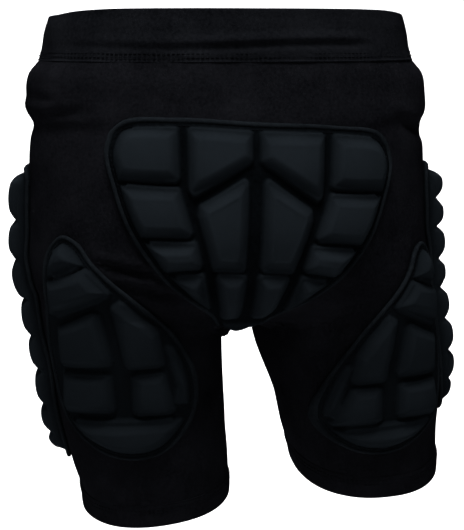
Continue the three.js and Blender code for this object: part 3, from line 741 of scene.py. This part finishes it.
# How far the cloth outside a pad is still held flat, and the least facing of the cloth under it
COVER_FADE = 5.0
COVER_FACING = -0.1


def pad_cover(p, out):
    """1 where a pad lies on the cloth, falling to 0 a little outside it."""
    cover = np.zeros(len(p))
    for name, layout in layouts.items():
        near = out @ layout.facing > COVER_FACING
        distance = np.full(len(p), FAR)
        distance[near] = signed_distance(layout.flat(p[near]), plans[name][0][::6])
        cover = np.maximum(cover, 1 - ramp(distance, 0.0, COVER_FADE))
    return cover


def grid_faces(rows, steps, closed=True):
    """Quads between rows of vertex numbers that lie one after another."""
    i = np.arange(rows - 1)[:, None] * steps
    j = np.arange(steps if closed else steps - 1)[None, :]
    k = (j + 1) % steps
    return np.stack([i + j, i + k, i + k + steps, i + j + steps], axis=2).reshape(-1, 4)


def tube_faces(rings, steps):
    """Quads between closed rings, the last of which joins the first."""
    last = (rings - 1) * steps
    j = np.arange(steps)
    k = (j + 1) % steps
    return np.concatenate([grid_faces(rings, steps), np.stack([last + j, last + k, k, j], axis=1)])


def outward(points, faces):
    """The faces, turned to look out of the closed form that they make."""
    a, b, c, d = (points[faces[:, k]] for k in range(4))
    volume = np.einsum("ij,ij->", a, np.cross(b, c)) + np.einsum("ij,ij->", a, np.cross(c, d))
    return faces if volume > 0 else faces[:, ::-1]


def make_piece(name, points, faces, painted_shading=None, uv=None):
    """A shown mesh from points in millimetres and quads."""
    mesh = bpy.data.meshes.new(name)
    mesh.vertices.add(len(points))
    mesh.vertices.foreach_set("co", (np.asarray(points) * MM).astype(np.float32).ravel())
    mesh.loops.add(faces.size)
    mesh.loops.foreach_set("vertex_index", faces.astype(np.int32).ravel())
    mesh.polygons.add(len(faces))
    mesh.polygons.foreach_set("loop_start", np.arange(0, faces.size, 4, dtype=np.int32))
    mesh.polygons.foreach_set("loop_total", np.full(len(faces), 4, dtype=np.int32))
    mesh.update(calc_edges=True)
    mesh.validate()
    mesh.shade_smooth()
    # Optional painted shading per point: colour darkened in grooves and lightened on raised tops
    if painted_shading is not None:
        layer = mesh.attributes.new("painted_shading", "FLOAT", "POINT")
        layer.data.foreach_set("value", np.asarray(painted_shading, np.float32))
    if uv is not None:
        layer = mesh.uv_layers.new(name="flat")
        layer.data.foreach_set("uv", (uv[faces.ravel()] * MM).astype(np.float32).ravel())
    piece = bpy.data.objects.new(name, mesh)
    bpy.context.scene.collection.objects.link(piece)
    return piece


def dress(piece, material, nodes=()):
    """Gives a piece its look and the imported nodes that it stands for."""
    piece.data.materials.append(material)
    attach(piece, "root")
    if nodes:
        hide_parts(*nodes)


# Cloth of the shorts: how far it runs behind the band and the hems, and how its two faces lie
BAND_OVERLAP = 2.0
HEM_OVERLAP = 3.0
OUTER_SINK = 0.15
INNER_LIFT = 0.4
FOLD_START = (2, 14)
half_band = BAND_HEIGHT / 2
torso_levels = np.linspace(BAND_OVERLAP - half_band, -SPLIT_DROP * RISE, TORSO_STEPS + 1)
torso_rings = [torso_ring(z) for z in torso_levels]
crotch_seam = crotch_curve(-SPLIT_DROP * RISE)


def leg_rings(side):
    """The rings of a leg, from the torso's last ring and the crotch seam down to the hem."""
    spread_z = CROTCH_Z - SPREAD_DEPTH
    last = torso_rings[-1]
    half = last[: HALF_STEPS + 1]
    if side == "right":
        half = np.concatenate([last[:1], last[HALF_STEPS:][::-1]])
    top = np.concatenate([half, crotch_seam])
    spread = leg_ring(side, lambda p: np.full(len(p), float(spread_z)))
    hem = leg_end(side, HEM_HEIGHT - HEM_OVERLAP)
    rings = [top]
    for i in range(1, SPREAD_STEPS):
        rings.append(settle(top + (spread - top) * i / SPREAD_STEPS))
    rings.append(spread)
    for i in range(1, LEG_STEPS + 1):
        rings.append(leg_ring(side, lambda p: spread_z + (hem(p) - spread_z) * i / LEG_STEPS))
    return rings


def shell_points():
    """All points of the cloth and its quads: the torso's rings, the crotch seam, then each leg's rings."""
    torso = np.concatenate(torso_rings)
    faces = [grid_faces(len(torso_rings), 2 * HALF_STEPS)]
    points = [torso, crotch_seam]
    count = len(torso) + len(crotch_seam)
    last = (len(torso_rings) - 1) * 2 * HALF_STEPS
    seam = len(torso) + np.arange(len(crotch_seam))
    rims = [np.arange(2 * HALF_STEPS)]
    for side in SIDES:
        rings = leg_rings(side)
        if side == "left":
            half = last + np.arange(HALF_STEPS + 1)
        else:
            half = last + np.concatenate([[0], np.arange(2 * HALF_STEPS - 1, HALF_STEPS - 1, -1)])
        above = np.concatenate([half, seam])
        steps = len(above)
        for ring in rings[1:]:
            row = count + np.arange(steps)
            quads = np.stack([above, np.roll(above, -1), np.roll(row, -1), row], axis=1)
            faces.append(quads if side == "left" else quads[:, ::-1])
            points.append(ring)
            count += steps
            above = row
        rims.append(above if side == "left" else above[::-1])
    return np.concatenate(points), np.concatenate(faces), rims


def shell_mesh():
    """The cloth: an outer face with folds, an inner face, and a rim round each opening."""
    base, skin, rims = shell_points()
    out = normals(base)
    fade = ramp(-base[:, 2], half_band + FOLD_START[0], half_band + FOLD_START[1])
    shift = (folds(base, out[:, 1]) + ripples(base)) * (1 - pad_cover(base, out)) * fade
    outer = base + out * (shift - OUTER_SINK)[:, None]
    inner = base + out * (np.minimum(shift, INNER_LIFT) - CLOTH_WALL)[:, None]
    count = len(base)
    quads = [skin, skin[:, ::-1] + count]
    for rim in rims:
        ahead = np.roll(rim, -1)
        quads.append(np.stack([ahead, rim, rim + count, ahead + count], axis=1))
    points = np.concatenate([outer, inner])
    return points, outward(points, np.concatenate(quads))


# Bands: how proud of the cloth they stand, their bulge, and how much thinner their lower edge is
BAND_PROUD = 0.9
BAND_THIN = 0.6
HEM_PROUD = 0.55
HEM_THIN = 0.3
BULGE = 0.5
BULGE_POWER = 0.6

# Share of a band's height over which it thins out, and the room of the round fold at its open edge
THIN_RUN = 0.12
BAND_ROUND = 1.6
HEM_ROUND = 1.4


def ring_band(ring_at, profile, wave):
    """A band round an opening from a closed profile of rises and outs."""
    rows = []
    for rise, lift in profile:
        ring = ring_at(rise)
        rows.append(ring + normals(ring) * np.reshape(lift + wave(ring, rise), (-1, 1)))
    points = np.concatenate(rows)
    return points, outward(points, tube_faces(len(rows), len(rows[0])))


def round_profile(low, high, outside, inside, steps, thin):
    """A closed profile: up the outer face, over a rounded top and back down inside."""
    face = []
    for s in np.linspace(0, 1, steps):
        bulge = BULGE * math.sin(math.pi * s) ** BULGE_POWER
        face.append((low + (high - low) * s, outside - thin * max(1 - s / THIN_RUN, 0) + bulge))
    middle, radius = (outside + inside) / 2, abs(outside - inside) / 2
    way = 1 if high > low else -1
    top = [
        (high + way * radius * math.sin(a), middle + radius * math.cos(a))
        for a in np.linspace(0.25, math.pi - 0.25, 6)
    ]
    back = [(high + (low - high) * s, inside) for s in np.linspace(0, 1, 6)]
    foot = [
        (low - way * 0.6 * radius * math.sin(a), middle - radius * math.cos(a))
        for a in np.linspace(0.35, math.pi - 0.35, 5)
    ]
    return face + top + back + foot


def waist_ring(z):
    """A ring round the waist, which droops towards both sides over the band's middle."""
    ring = torso_ring(z, BAND_HALF_STEPS)
    half = columns(torso_curves, np.array([z]))[0][0] * HIP_WIDTH / 2
    lowered = max(z / half_band, 0) * WAIST_DROOP
    ring[:, 2] -= lowered * np.abs(ring[:, 0] / half) ** DROOP_POWER
    return ring


# The soft crease along the waistband's seat side: its rise, where it is faint, clear and gone again,
# and the height, place and spread of the roll over it and of the crease itself
CREASE_RISE = -8.5
CREASE_SWAY = 1.6
CREASE_FAINT = (-150, -100)
CREASE_CLEAR = (-100, -10)
CREASE_END = (70, 106)
FAINT_SHARE = 0.35
CREASE_ROLL = (1.5, 5.0, 4.2)
CREASE_DIP = (1.7, 0.0, 2.8)


def hump(rise, shape):
    height, place, spread = shape
    return height * np.exp(-(((rise - place) / spread) ** 2))


def band_wave(ring, rise):
    """The waistband's crease and its slight waves."""
    x, y = ring[:, 0], ring[:, 1]
    turn = np.arctan2(y, x)
    window = FAINT_SHARE * ramp(x, *CREASE_FAINT) + (1 - FAINT_SHARE) * ramp(x, *CREASE_CLEAR)
    window = window * (1 - ramp(x, *CREASE_END)) * (y < 0)
    over = rise - CREASE_RISE - CREASE_SWAY * np.sin(x / 40)
    return window * (hump(over, CREASE_ROLL) - hump(over, CREASE_DIP)) + (
        0.28 * np.sin(turn * 9 + 0.8 * np.sin(turn * 4))
        + 0.18 * np.sin(turn * 23 + rise / 9)
        + 0.35 * np.sin(rise / 6.2 + turn * 2)
    )


def hem_wave(ring, rise):
    """The slight waves of a hem."""
    x, y = ring[:, 0], ring[:, 1]
    return 0.25 * np.sin(x / 9) * np.sin(y / 11 + rise / 8)


def hem_ring(side):
    """The ring round a leg opening for each height over the leg's end."""
    turns = leg_turns(*HEM_STEPS)
    return lambda rise: leg_ring(side, leg_end(side, rise), turns)


def waistband_mesh():
    profile = round_profile(
        -half_band, half_band - BAND_ROUND, BAND_PROUD, BAND_PROUD - BAND_WALL, 34, BAND_THIN
    )
    return ring_band(waist_ring, profile, band_wave)


def hem_mesh(side):
    profile = round_profile(HEM_HEIGHT, HEM_ROUND, HEM_PROUD, HEM_PROUD - HEM_WALL, 20, HEM_THIN)
    return ring_band(hem_ring(side), profile, hem_wave)


# Painted shade: how light a pad's grooves and its lobes' tops are painted, darker down in the grooves
# where shade falls, then the mesh's cell, and what its edge gives up
PAINTED_SHADE_LEVELS = {"seat": (0.0, 0.95), "thigh": (0.22, 0.74), "hip": (0.12, 0.9)}
PAINTED_SHADE_POWER = 0.8
PAD_CELL = 1.05
PAD_TRIM = 0.4


def pad_mesh(name):
    """A pad's surface on a fine grid in its layout, with painted shading for each point: darker in the
    grooves, lighter on the lobes' tops.
    """
    outline, lobes = plans[name]
    layout = layouts[name]
    low, high = outline.min(0) - PAD_CELL, outline.max(0) + PAD_CELL
    xs = np.arange(low[0], high[0], PAD_CELL)
    ys = np.arange(low[1], high[1], PAD_CELL)
    uv = np.stack(np.meshgrid(xs, ys), axis=2).reshape(-1, 2)
    within = -signed_distance(uv, outline[::2]) > PAD_TRIM
    faces = grid_faces(len(ys), len(xs), closed=False)
    faces = faces[within[faces].all(1)]
    used = np.unique(faces)
    number = np.full(len(uv), -1)
    number[used] = np.arange(len(used))
    uv, faces = uv[used], number[faces]
    height = pad_height(name, uv, outline, lobes)
    points = layout.at(uv, height)
    # Painted shade: the colour share rises with height over the flange, dark in the grooves and light on
    # the lobes' tops
    share = np.clip((height - FLANGE_TOP) / (PADS[name][2] - FLANGE_TOP), 0, 1)
    dark, light = PAINTED_SHADE_LEVELS[kind_of(name)]
    painted_shading = dark + (light - dark) * share**PAINTED_SHADE_POWER
    a, b, c = points[faces[:, 0]], points[faces[:, 1]], points[faces[:, 2]]
    facing = (np.cross(b - a, c - a) @ layout.facing).sum()
    return points, faces if facing > 0 else faces[:, ::-1], painted_shading, uv


def inwards(outline):
    """The way into an anticlockwise outline at each of its points."""
    ahead, behind = np.roll(outline, -1, 0), np.roll(outline, 1, 0)
    run = (ahead - behind) / np.linalg.norm(ahead - behind, axis=1, keepdims=True)
    return np.stack([-run[:, 1], run[:, 0]], axis=1)


def welt_mesh(name, sides=10):
    """The round welt along a pad's edge."""
    outline = plans[name][0]
    way = inwards(outline)
    share = tail_share(name, outline[:, 1])
    radius = WELT_RADIUS * share
    rows = []
    for a in np.arange(sides) / sides * 2 * math.pi:
        place = outline + way * (radius * (1 + math.cos(a)))[:, None]
        rows.append(layouts[name].at(place, WELT_MIDDLE * share + radius * math.sin(a)))
    points = np.concatenate(rows)
    return points, outward(points, tube_faces(sides, len(outline)))


# Stitches, and the rings of one: its share of the length and of the thread's radius
STITCH_LENGTH = 2.6
STITCH_PITCH = 3.6
STITCH_RADIUS = 0.34
STITCH_RINGS = [(0.0, 0.35), (0.18, 1.0), (0.82, 1.0), (1.0, 0.35)]
STITCH_SINK = 0.25
PAD_STITCH_INSET = 5.0
PAD_STITCH_LIFT = 0.15
HEM_STITCH_RISES = (15.2, 12.2)
HEM_STITCH_LIFT = 1.05
WAIST_STITCH_RISES = (2.6, 5.4)
WAIST_STITCH_LIFT = 1.2


def stitches(path, out):
    """A row of short thread capsules along a closed path that lies on the cloth."""
    closed, run = closed_run(path)
    total = int(run[-1] / STITCH_PITCH)
    starts = np.arange(total) * run[-1] / total
    out = np.vstack([out, out[:1]])
    spot = lambda at, table: np.stack([np.interp(at % run[-1], run, table[:, k]) for k in range(3)], 1)
    points, faces = [], []
    sides, rings = 6, len(STITCH_RINGS)
    for share, girth in STITCH_RINGS:
        at = starts + share * STITCH_LENGTH
        middle, up = spot(at, closed), spot(at, out)
        way = spot(at + 0.4, closed) - spot(at - 0.4, closed)
        way /= np.maximum(np.linalg.norm(way, axis=1, keepdims=True), 1e-9)
        aside = np.cross(way, up)
        sink = -STITCH_SINK * (1 - girth)
        for a in np.arange(sides) / sides * 2 * math.pi:
            around = up * math.cos(a) + aside * math.sin(a)
            points.append(middle + up * sink + around * STITCH_RADIUS * girth)
    number = np.arange(rings * sides * total).reshape(rings, sides, total)
    for r in range(rings - 1):
        for s in range(sides):
            t = (s + 1) % sides
            faces.append(np.stack([number[r, s], number[r, t], number[r + 1, t], number[r + 1, s]], 1))
    for r, order in ((0, (0, 1, 2, 3)), (0, (3, 4, 5, 0)), (-1, (3, 2, 1, 0)), (-1, (0, 5, 4, 3))):
        faces.append(np.stack([number[r, s] for s in order], 1))
    return np.array(points).reshape(-1, 3), np.concatenate(faces)


def join_meshes(parts):
    """One mesh from several."""
    points, faces, count = [], [], 0
    for part_points, part_faces in parts:
        points.append(part_points)
        faces.append(part_faces + count)
        count += len(part_points)
    return np.concatenate(points), np.concatenate(faces)


def band_rows(ring_at, rises, lift):
    """Rows of stitches round an opening."""
    rows = []
    for rise in rises:
        ring = ring_at(rise)
        out = normals(ring)
        rows.append(stitches(ring + out * lift, out))
    return join_meshes(rows)


def pad_row(name):
    """The row of stitches on a pad's flange."""
    outline = plans[name][0][::2]
    place = outline + inwards(outline) * PAD_STITCH_INSET
    lift = np.full(len(place), FLANGE_TOP + PAD_STITCH_LIFT)
    low, high = layouts[name].at(place, lift), layouts[name].at(place, lift + 1.0)
    return stitches(low, high - low)


# Materials
def nodes_of(name):
    """A new material, its nodes and its shader."""
    material = bpy.data.materials.new(name)
    material.use_nodes = True
    tree = material.node_tree
    shader = tree.nodes["Principled BSDF"]
    return material, tree, shader


def add(tree, kind, **values):
    """A new node with some of its inputs or settings."""
    node = tree.nodes.new(kind)
    for key, value in values.items():
        if key in node.inputs:
            node.inputs[key].default_value = value
        else:
            setattr(node, key, value)
    return node


def reckon(tree, operation, *terms):
    """What a math node gives for terms that are numbers or other nodes' outputs."""
    node = add(tree, "ShaderNodeMath", operation=operation)
    for term, socket in zip(terms, node.inputs):
        if isinstance(term, (int, float)):
            socket.default_value = term
        else:
            tree.links.new(term, socket)
    return node.outputs[0]


def bump(tree, height, strength, distance, under=None):
    """A bumped normal, on top of another one if it is given."""
    node = add(tree, "ShaderNodeBump", Strength=strength, Distance=distance)
    tree.links.new(height, node.inputs["Height"])
    if under is not None:
        tree.links.new(under, node.inputs["Normal"])
    return node.outputs["Normal"]


def knit(name, dark, light, rough, grain, grain_depth, stretch=(1, 1, 1), painted_shading=None, rib=None):
    """Knitted stretch cloth: fine loops, soft blotches and a little fuzz, and where asked, painted shade
    read from the mesh.
    """
    material, tree, shader = nodes_of(name)
    link = tree.links.new
    where = add(tree, "ShaderNodeTexCoord").outputs["Object"]
    scaled = add(tree, "ShaderNodeMapping", Scale=stretch)
    link(where, scaled.inputs["Vector"])
    loops = add(tree, "ShaderNodeTexVoronoi", Scale=1 / grain)
    link(scaled.outputs["Vector"], loops.inputs["Vector"])
    fuzz = add(tree, "ShaderNodeTexNoise", Scale=420.0, Detail=3.0, Roughness=0.6)
    link(where, fuzz.inputs["Vector"])
    patches = add(tree, "ShaderNodeTexNoise", Scale=26.0, Detail=4.0, Roughness=0.55)
    link(where, patches.inputs["Vector"])

    half = reckon(tree, "MULTIPLY", patches.outputs["Fac"], 0.5)
    share = reckon(tree, "MULTIPLY_ADD", fuzz.outputs["Fac"], 0.5, half)
    # Painted shade: the mesh's shading attribute darkens grooves and lightens raised tops
    if painted_shading is not None:
        read = add(tree, "ShaderNodeAttribute", attribute_name="painted_shading")
        quieter = reckon(tree, "MULTIPLY", share, 1 - painted_shading)
        share = reckon(tree, "MULTIPLY_ADD", read.outputs["Fac"], painted_shading, quieter)
    colours = add(tree, "ShaderNodeValToRGB")
    low, high = colours.color_ramp.elements
    low.position = 0.3 * (1 - (painted_shading or 0))
    low.color = (*dark, 1)
    high.position = 0.72 + 0.28 * (painted_shading or 0)
    high.color = (*light, 1)
    link(share, colours.inputs["Fac"])
    link(colours.outputs["Color"], shader.inputs["Base Color"])

    rougher = add(tree, "ShaderNodeMapRange")
    rougher.inputs["To Min"].default_value = rough - 0.07
    rougher.inputs["To Max"].default_value = min(rough + 0.08, 1.0)
    link(patches.outputs["Fac"], rougher.inputs["Value"])
    link(rougher.outputs["Result"], shader.inputs["Roughness"])

    normal = bump(tree, loops.outputs["Distance"], 0.35, grain_depth)
    normal = bump(tree, fuzz.outputs["Fac"], 0.25, grain_depth * 1.5, normal)
    if rib is not None:
        pitch, depth = rib
        lines = add(tree, "ShaderNodeTexWave", Scale=1 / pitch / 20, bands_direction="Z")
        lines.inputs["Distortion"].default_value = 0.4
        link(where, lines.inputs["Vector"])
        normal = bump(tree, lines.outputs["Fac"], 0.6, depth, normal)
    link(normal, shader.inputs["Normal"])
    shader.inputs["Specular IOR Level"].default_value = 0.0
    return material


CLOTH_DARK = (0.0015, 0.0016, 0.0021)
CLOTH_LIGHT = (0.0065, 0.0067, 0.0083)
BAND_DARK = (0.0018, 0.002, 0.0026)
BAND_LIGHT = (0.0076, 0.0082, 0.01)
# The foam's dark colour is mostly painted shade for the pads' grooves, and its light colour the lobes' lit
# tops
FOAM_DARK = (0.0005, 0.0007, 0.0009)
FOAM_LIGHT = (0.0096, 0.0124, 0.0152)
# Piping colours: the cord's own dark cloth, set lighter than the flange beside it as a painted highlight
# along the welt's ridge
PIPING_DARK = (0.0022, 0.0028, 0.0035)
PIPING_LIGHT = (0.0084, 0.0104, 0.0125)
THREAD_DARK = (0.0014, 0.0015, 0.002)
THREAD_LIGHT = (0.0048, 0.0052, 0.0064)

# Colours, roughness, then the size and depth of a loop, in metres
cloth_look = knit("stretch_knit", CLOTH_DARK, CLOTH_LIGHT, 0.78, 0.0011, 0.0003, (1, 1, 0.6))
hem_look = knit("hem_knit", CLOTH_DARK, CLOTH_LIGHT, 0.76, 0.001, 0.0003, (1, 1, 0.6))
trim_look = knit(
    "elastic_band", BAND_DARK, BAND_LIGHT, 0.74, 0.0009, 0.00025, (1, 1, 0.5), rib=(0.0022, 0.00035)
)
# The foam's colour follows the pads' painted shading: dark in the grooves, light on the lobes' tops
foam_look = knit("moulded_foam_cloth", FOAM_DARK, FOAM_LIGHT, 0.56, 0.0008, 0.00018, painted_shading=0.6)
piping_look = knit("piping", PIPING_DARK, PIPING_LIGHT, 0.62, 0.0007, 0.0002)
thread_look = knit("thread", THREAD_DARK, THREAD_LIGHT, 0.55, 0.0005, 0.0001)

# Pieces
dress(make_piece("shorts_cloth", *shell_mesh()), cloth_look, ["shorts_body"])
dress(make_piece("waistband_cloth", *waistband_mesh()), trim_look, ["waistband"])
for side in SIDES:
    dress(make_piece(f"hem_{side}_cloth", *hem_mesh(side)), hem_look, [f"hem_{side}"])
for name in PADS:
    dress(make_piece(f"{name}_foam", *pad_mesh(name)), foam_look, [name])
    dress(make_piece(f"{name}_welt", *welt_mesh(name)), piping_look, [f"{name}_edging"])
    dress(make_piece(f"{name}_stitching", *pad_row(name)), thread_look)
for side in SIDES:
    rows = band_rows(hem_ring(side), HEM_STITCH_RISES, HEM_STITCH_LIFT)
    dress(make_piece(f"hem_{side}_stitching", *rows), thread_look)
rows = band_rows(waist_ring, [rise - half_band for rise in WAIST_STITCH_RISES], WAIST_STITCH_LIFT)
dress(make_piece("waistband_stitching", *rows), thread_look)


# Floor: a pale dish, flat under the object and rising far from it
FLOOR_Z = -1.2
FLOOR_STEPS = 96
FLOOR_RINGS = [
    (0.0, 0.0), (1.0, 0.0), (2.2, 0.0), (3.2, 0.06), (4.2, 0.3), (5.0, 0.8), (5.5, 1.6), (5.7, 2.6)
]


def floor_dish():
    """The dish's rings, closer than those of the table, with a tiny hole in the middle."""
    turns = np.arange(FLOOR_STEPS) / FLOOR_STEPS * 2 * math.pi
    fine = np.linspace(0, 1, 40)
    radii, rises = np.array(FLOOR_RINGS).T
    at = np.linspace(0, 1, len(radii))
    rows = [
        np.stack([np.cos(turns) * r, np.sin(turns) * r, np.full(FLOOR_STEPS, FLOOR_Z + h)], axis=1)
        for r, h in zip(np.interp(fine, at, radii) + 0.001, np.interp(fine, at, rises))
    ]
    return np.concatenate(rows) / MM, grid_faces(len(rows), FLOOR_STEPS)


floor = make_piece("floor", *floor_dish())
paper, tree, shader = nodes_of("floor_paper")
grain = add(tree, "ShaderNodeTexNoise", Scale=3.0, Detail=2.0)
tint = add(tree, "ShaderNodeValToRGB")
tint.color_ramp.elements[0].color = (0.6, 0.6, 0.604, 1)
tint.color_ramp.elements[1].color = (0.64, 0.64, 0.644, 1)
tree.links.new(grain.outputs["Fac"], tint.inputs["Fac"])
tree.links.new(tint.outputs["Color"], shader.inputs["Base Color"])
shader.inputs["Roughness"].default_value = 0.95
floor.data.materials.append(paper)

# Light and camera
world = bpy.data.worlds.new("studio")
bpy.context.scene.world = world
world.use_nodes = True
world.node_tree.nodes["Background"].inputs["Color"].default_value = (0.95, 0.97, 1.0, 1)
world.node_tree.nodes["Background"].inputs["Strength"].default_value = 0.12


def area_light(name, place, aim, size, power):
    """A round soft light that looks from its place to its aim."""
    light = bpy.data.lights.new(name, "AREA")
    light.shape = "DISK"
    light.size = size
    light.energy = power
    lamp = bpy.data.objects.new(name, light)
    lamp.location = place
    way = np.array(aim) - np.array(place)
    flat = math.hypot(way[0], way[1])
    lamp.rotation_euler = (math.atan2(flat, -way[2]), 0, math.atan2(way[1], way[0]) - math.pi / 2)
    bpy.context.scene.collection.objects.link(lamp)


area_light("overhead", (-0.2, -0.75, 1.95), (0, 0.05, -0.2), 1.1, 95)
area_light("front", (-0.8, -1.9, 0.5), (0, 0, -0.15), 0.8, 1)
area_light("behind", (0.3, 2.8, 2.0), (0, 3.2, -0.8), 2.4, 330)
bpy.context.scene.view_settings.view_transform = "Standard"

LENS = 90.6
CAMERA_TURN = math.radians(-11)
CAMERA_DIP = math.radians(9.8)
CAMERA_AWAY = 1.1
CAMERA_ASIDE = 0.0041
camera = bpy.data.objects.new("camera", bpy.data.cameras.new("camera"))
camera.data.lens = LENS
camera.data.sensor_width = 36
camera.data.clip_start = 0.02
camera.location = (
    math.sin(CAMERA_TURN) * CAMERA_AWAY + math.cos(CAMERA_TURN) * CAMERA_ASIDE,
    -math.cos(CAMERA_TURN) * CAMERA_AWAY + math.sin(CAMERA_TURN) * CAMERA_ASIDE,
    0,
)
camera.rotation_euler = (math.pi / 2 - CAMERA_DIP, 0, CAMERA_TURN)
bpy.context.scene.collection.objects.link(camera)
bpy.context.scene.camera = camera
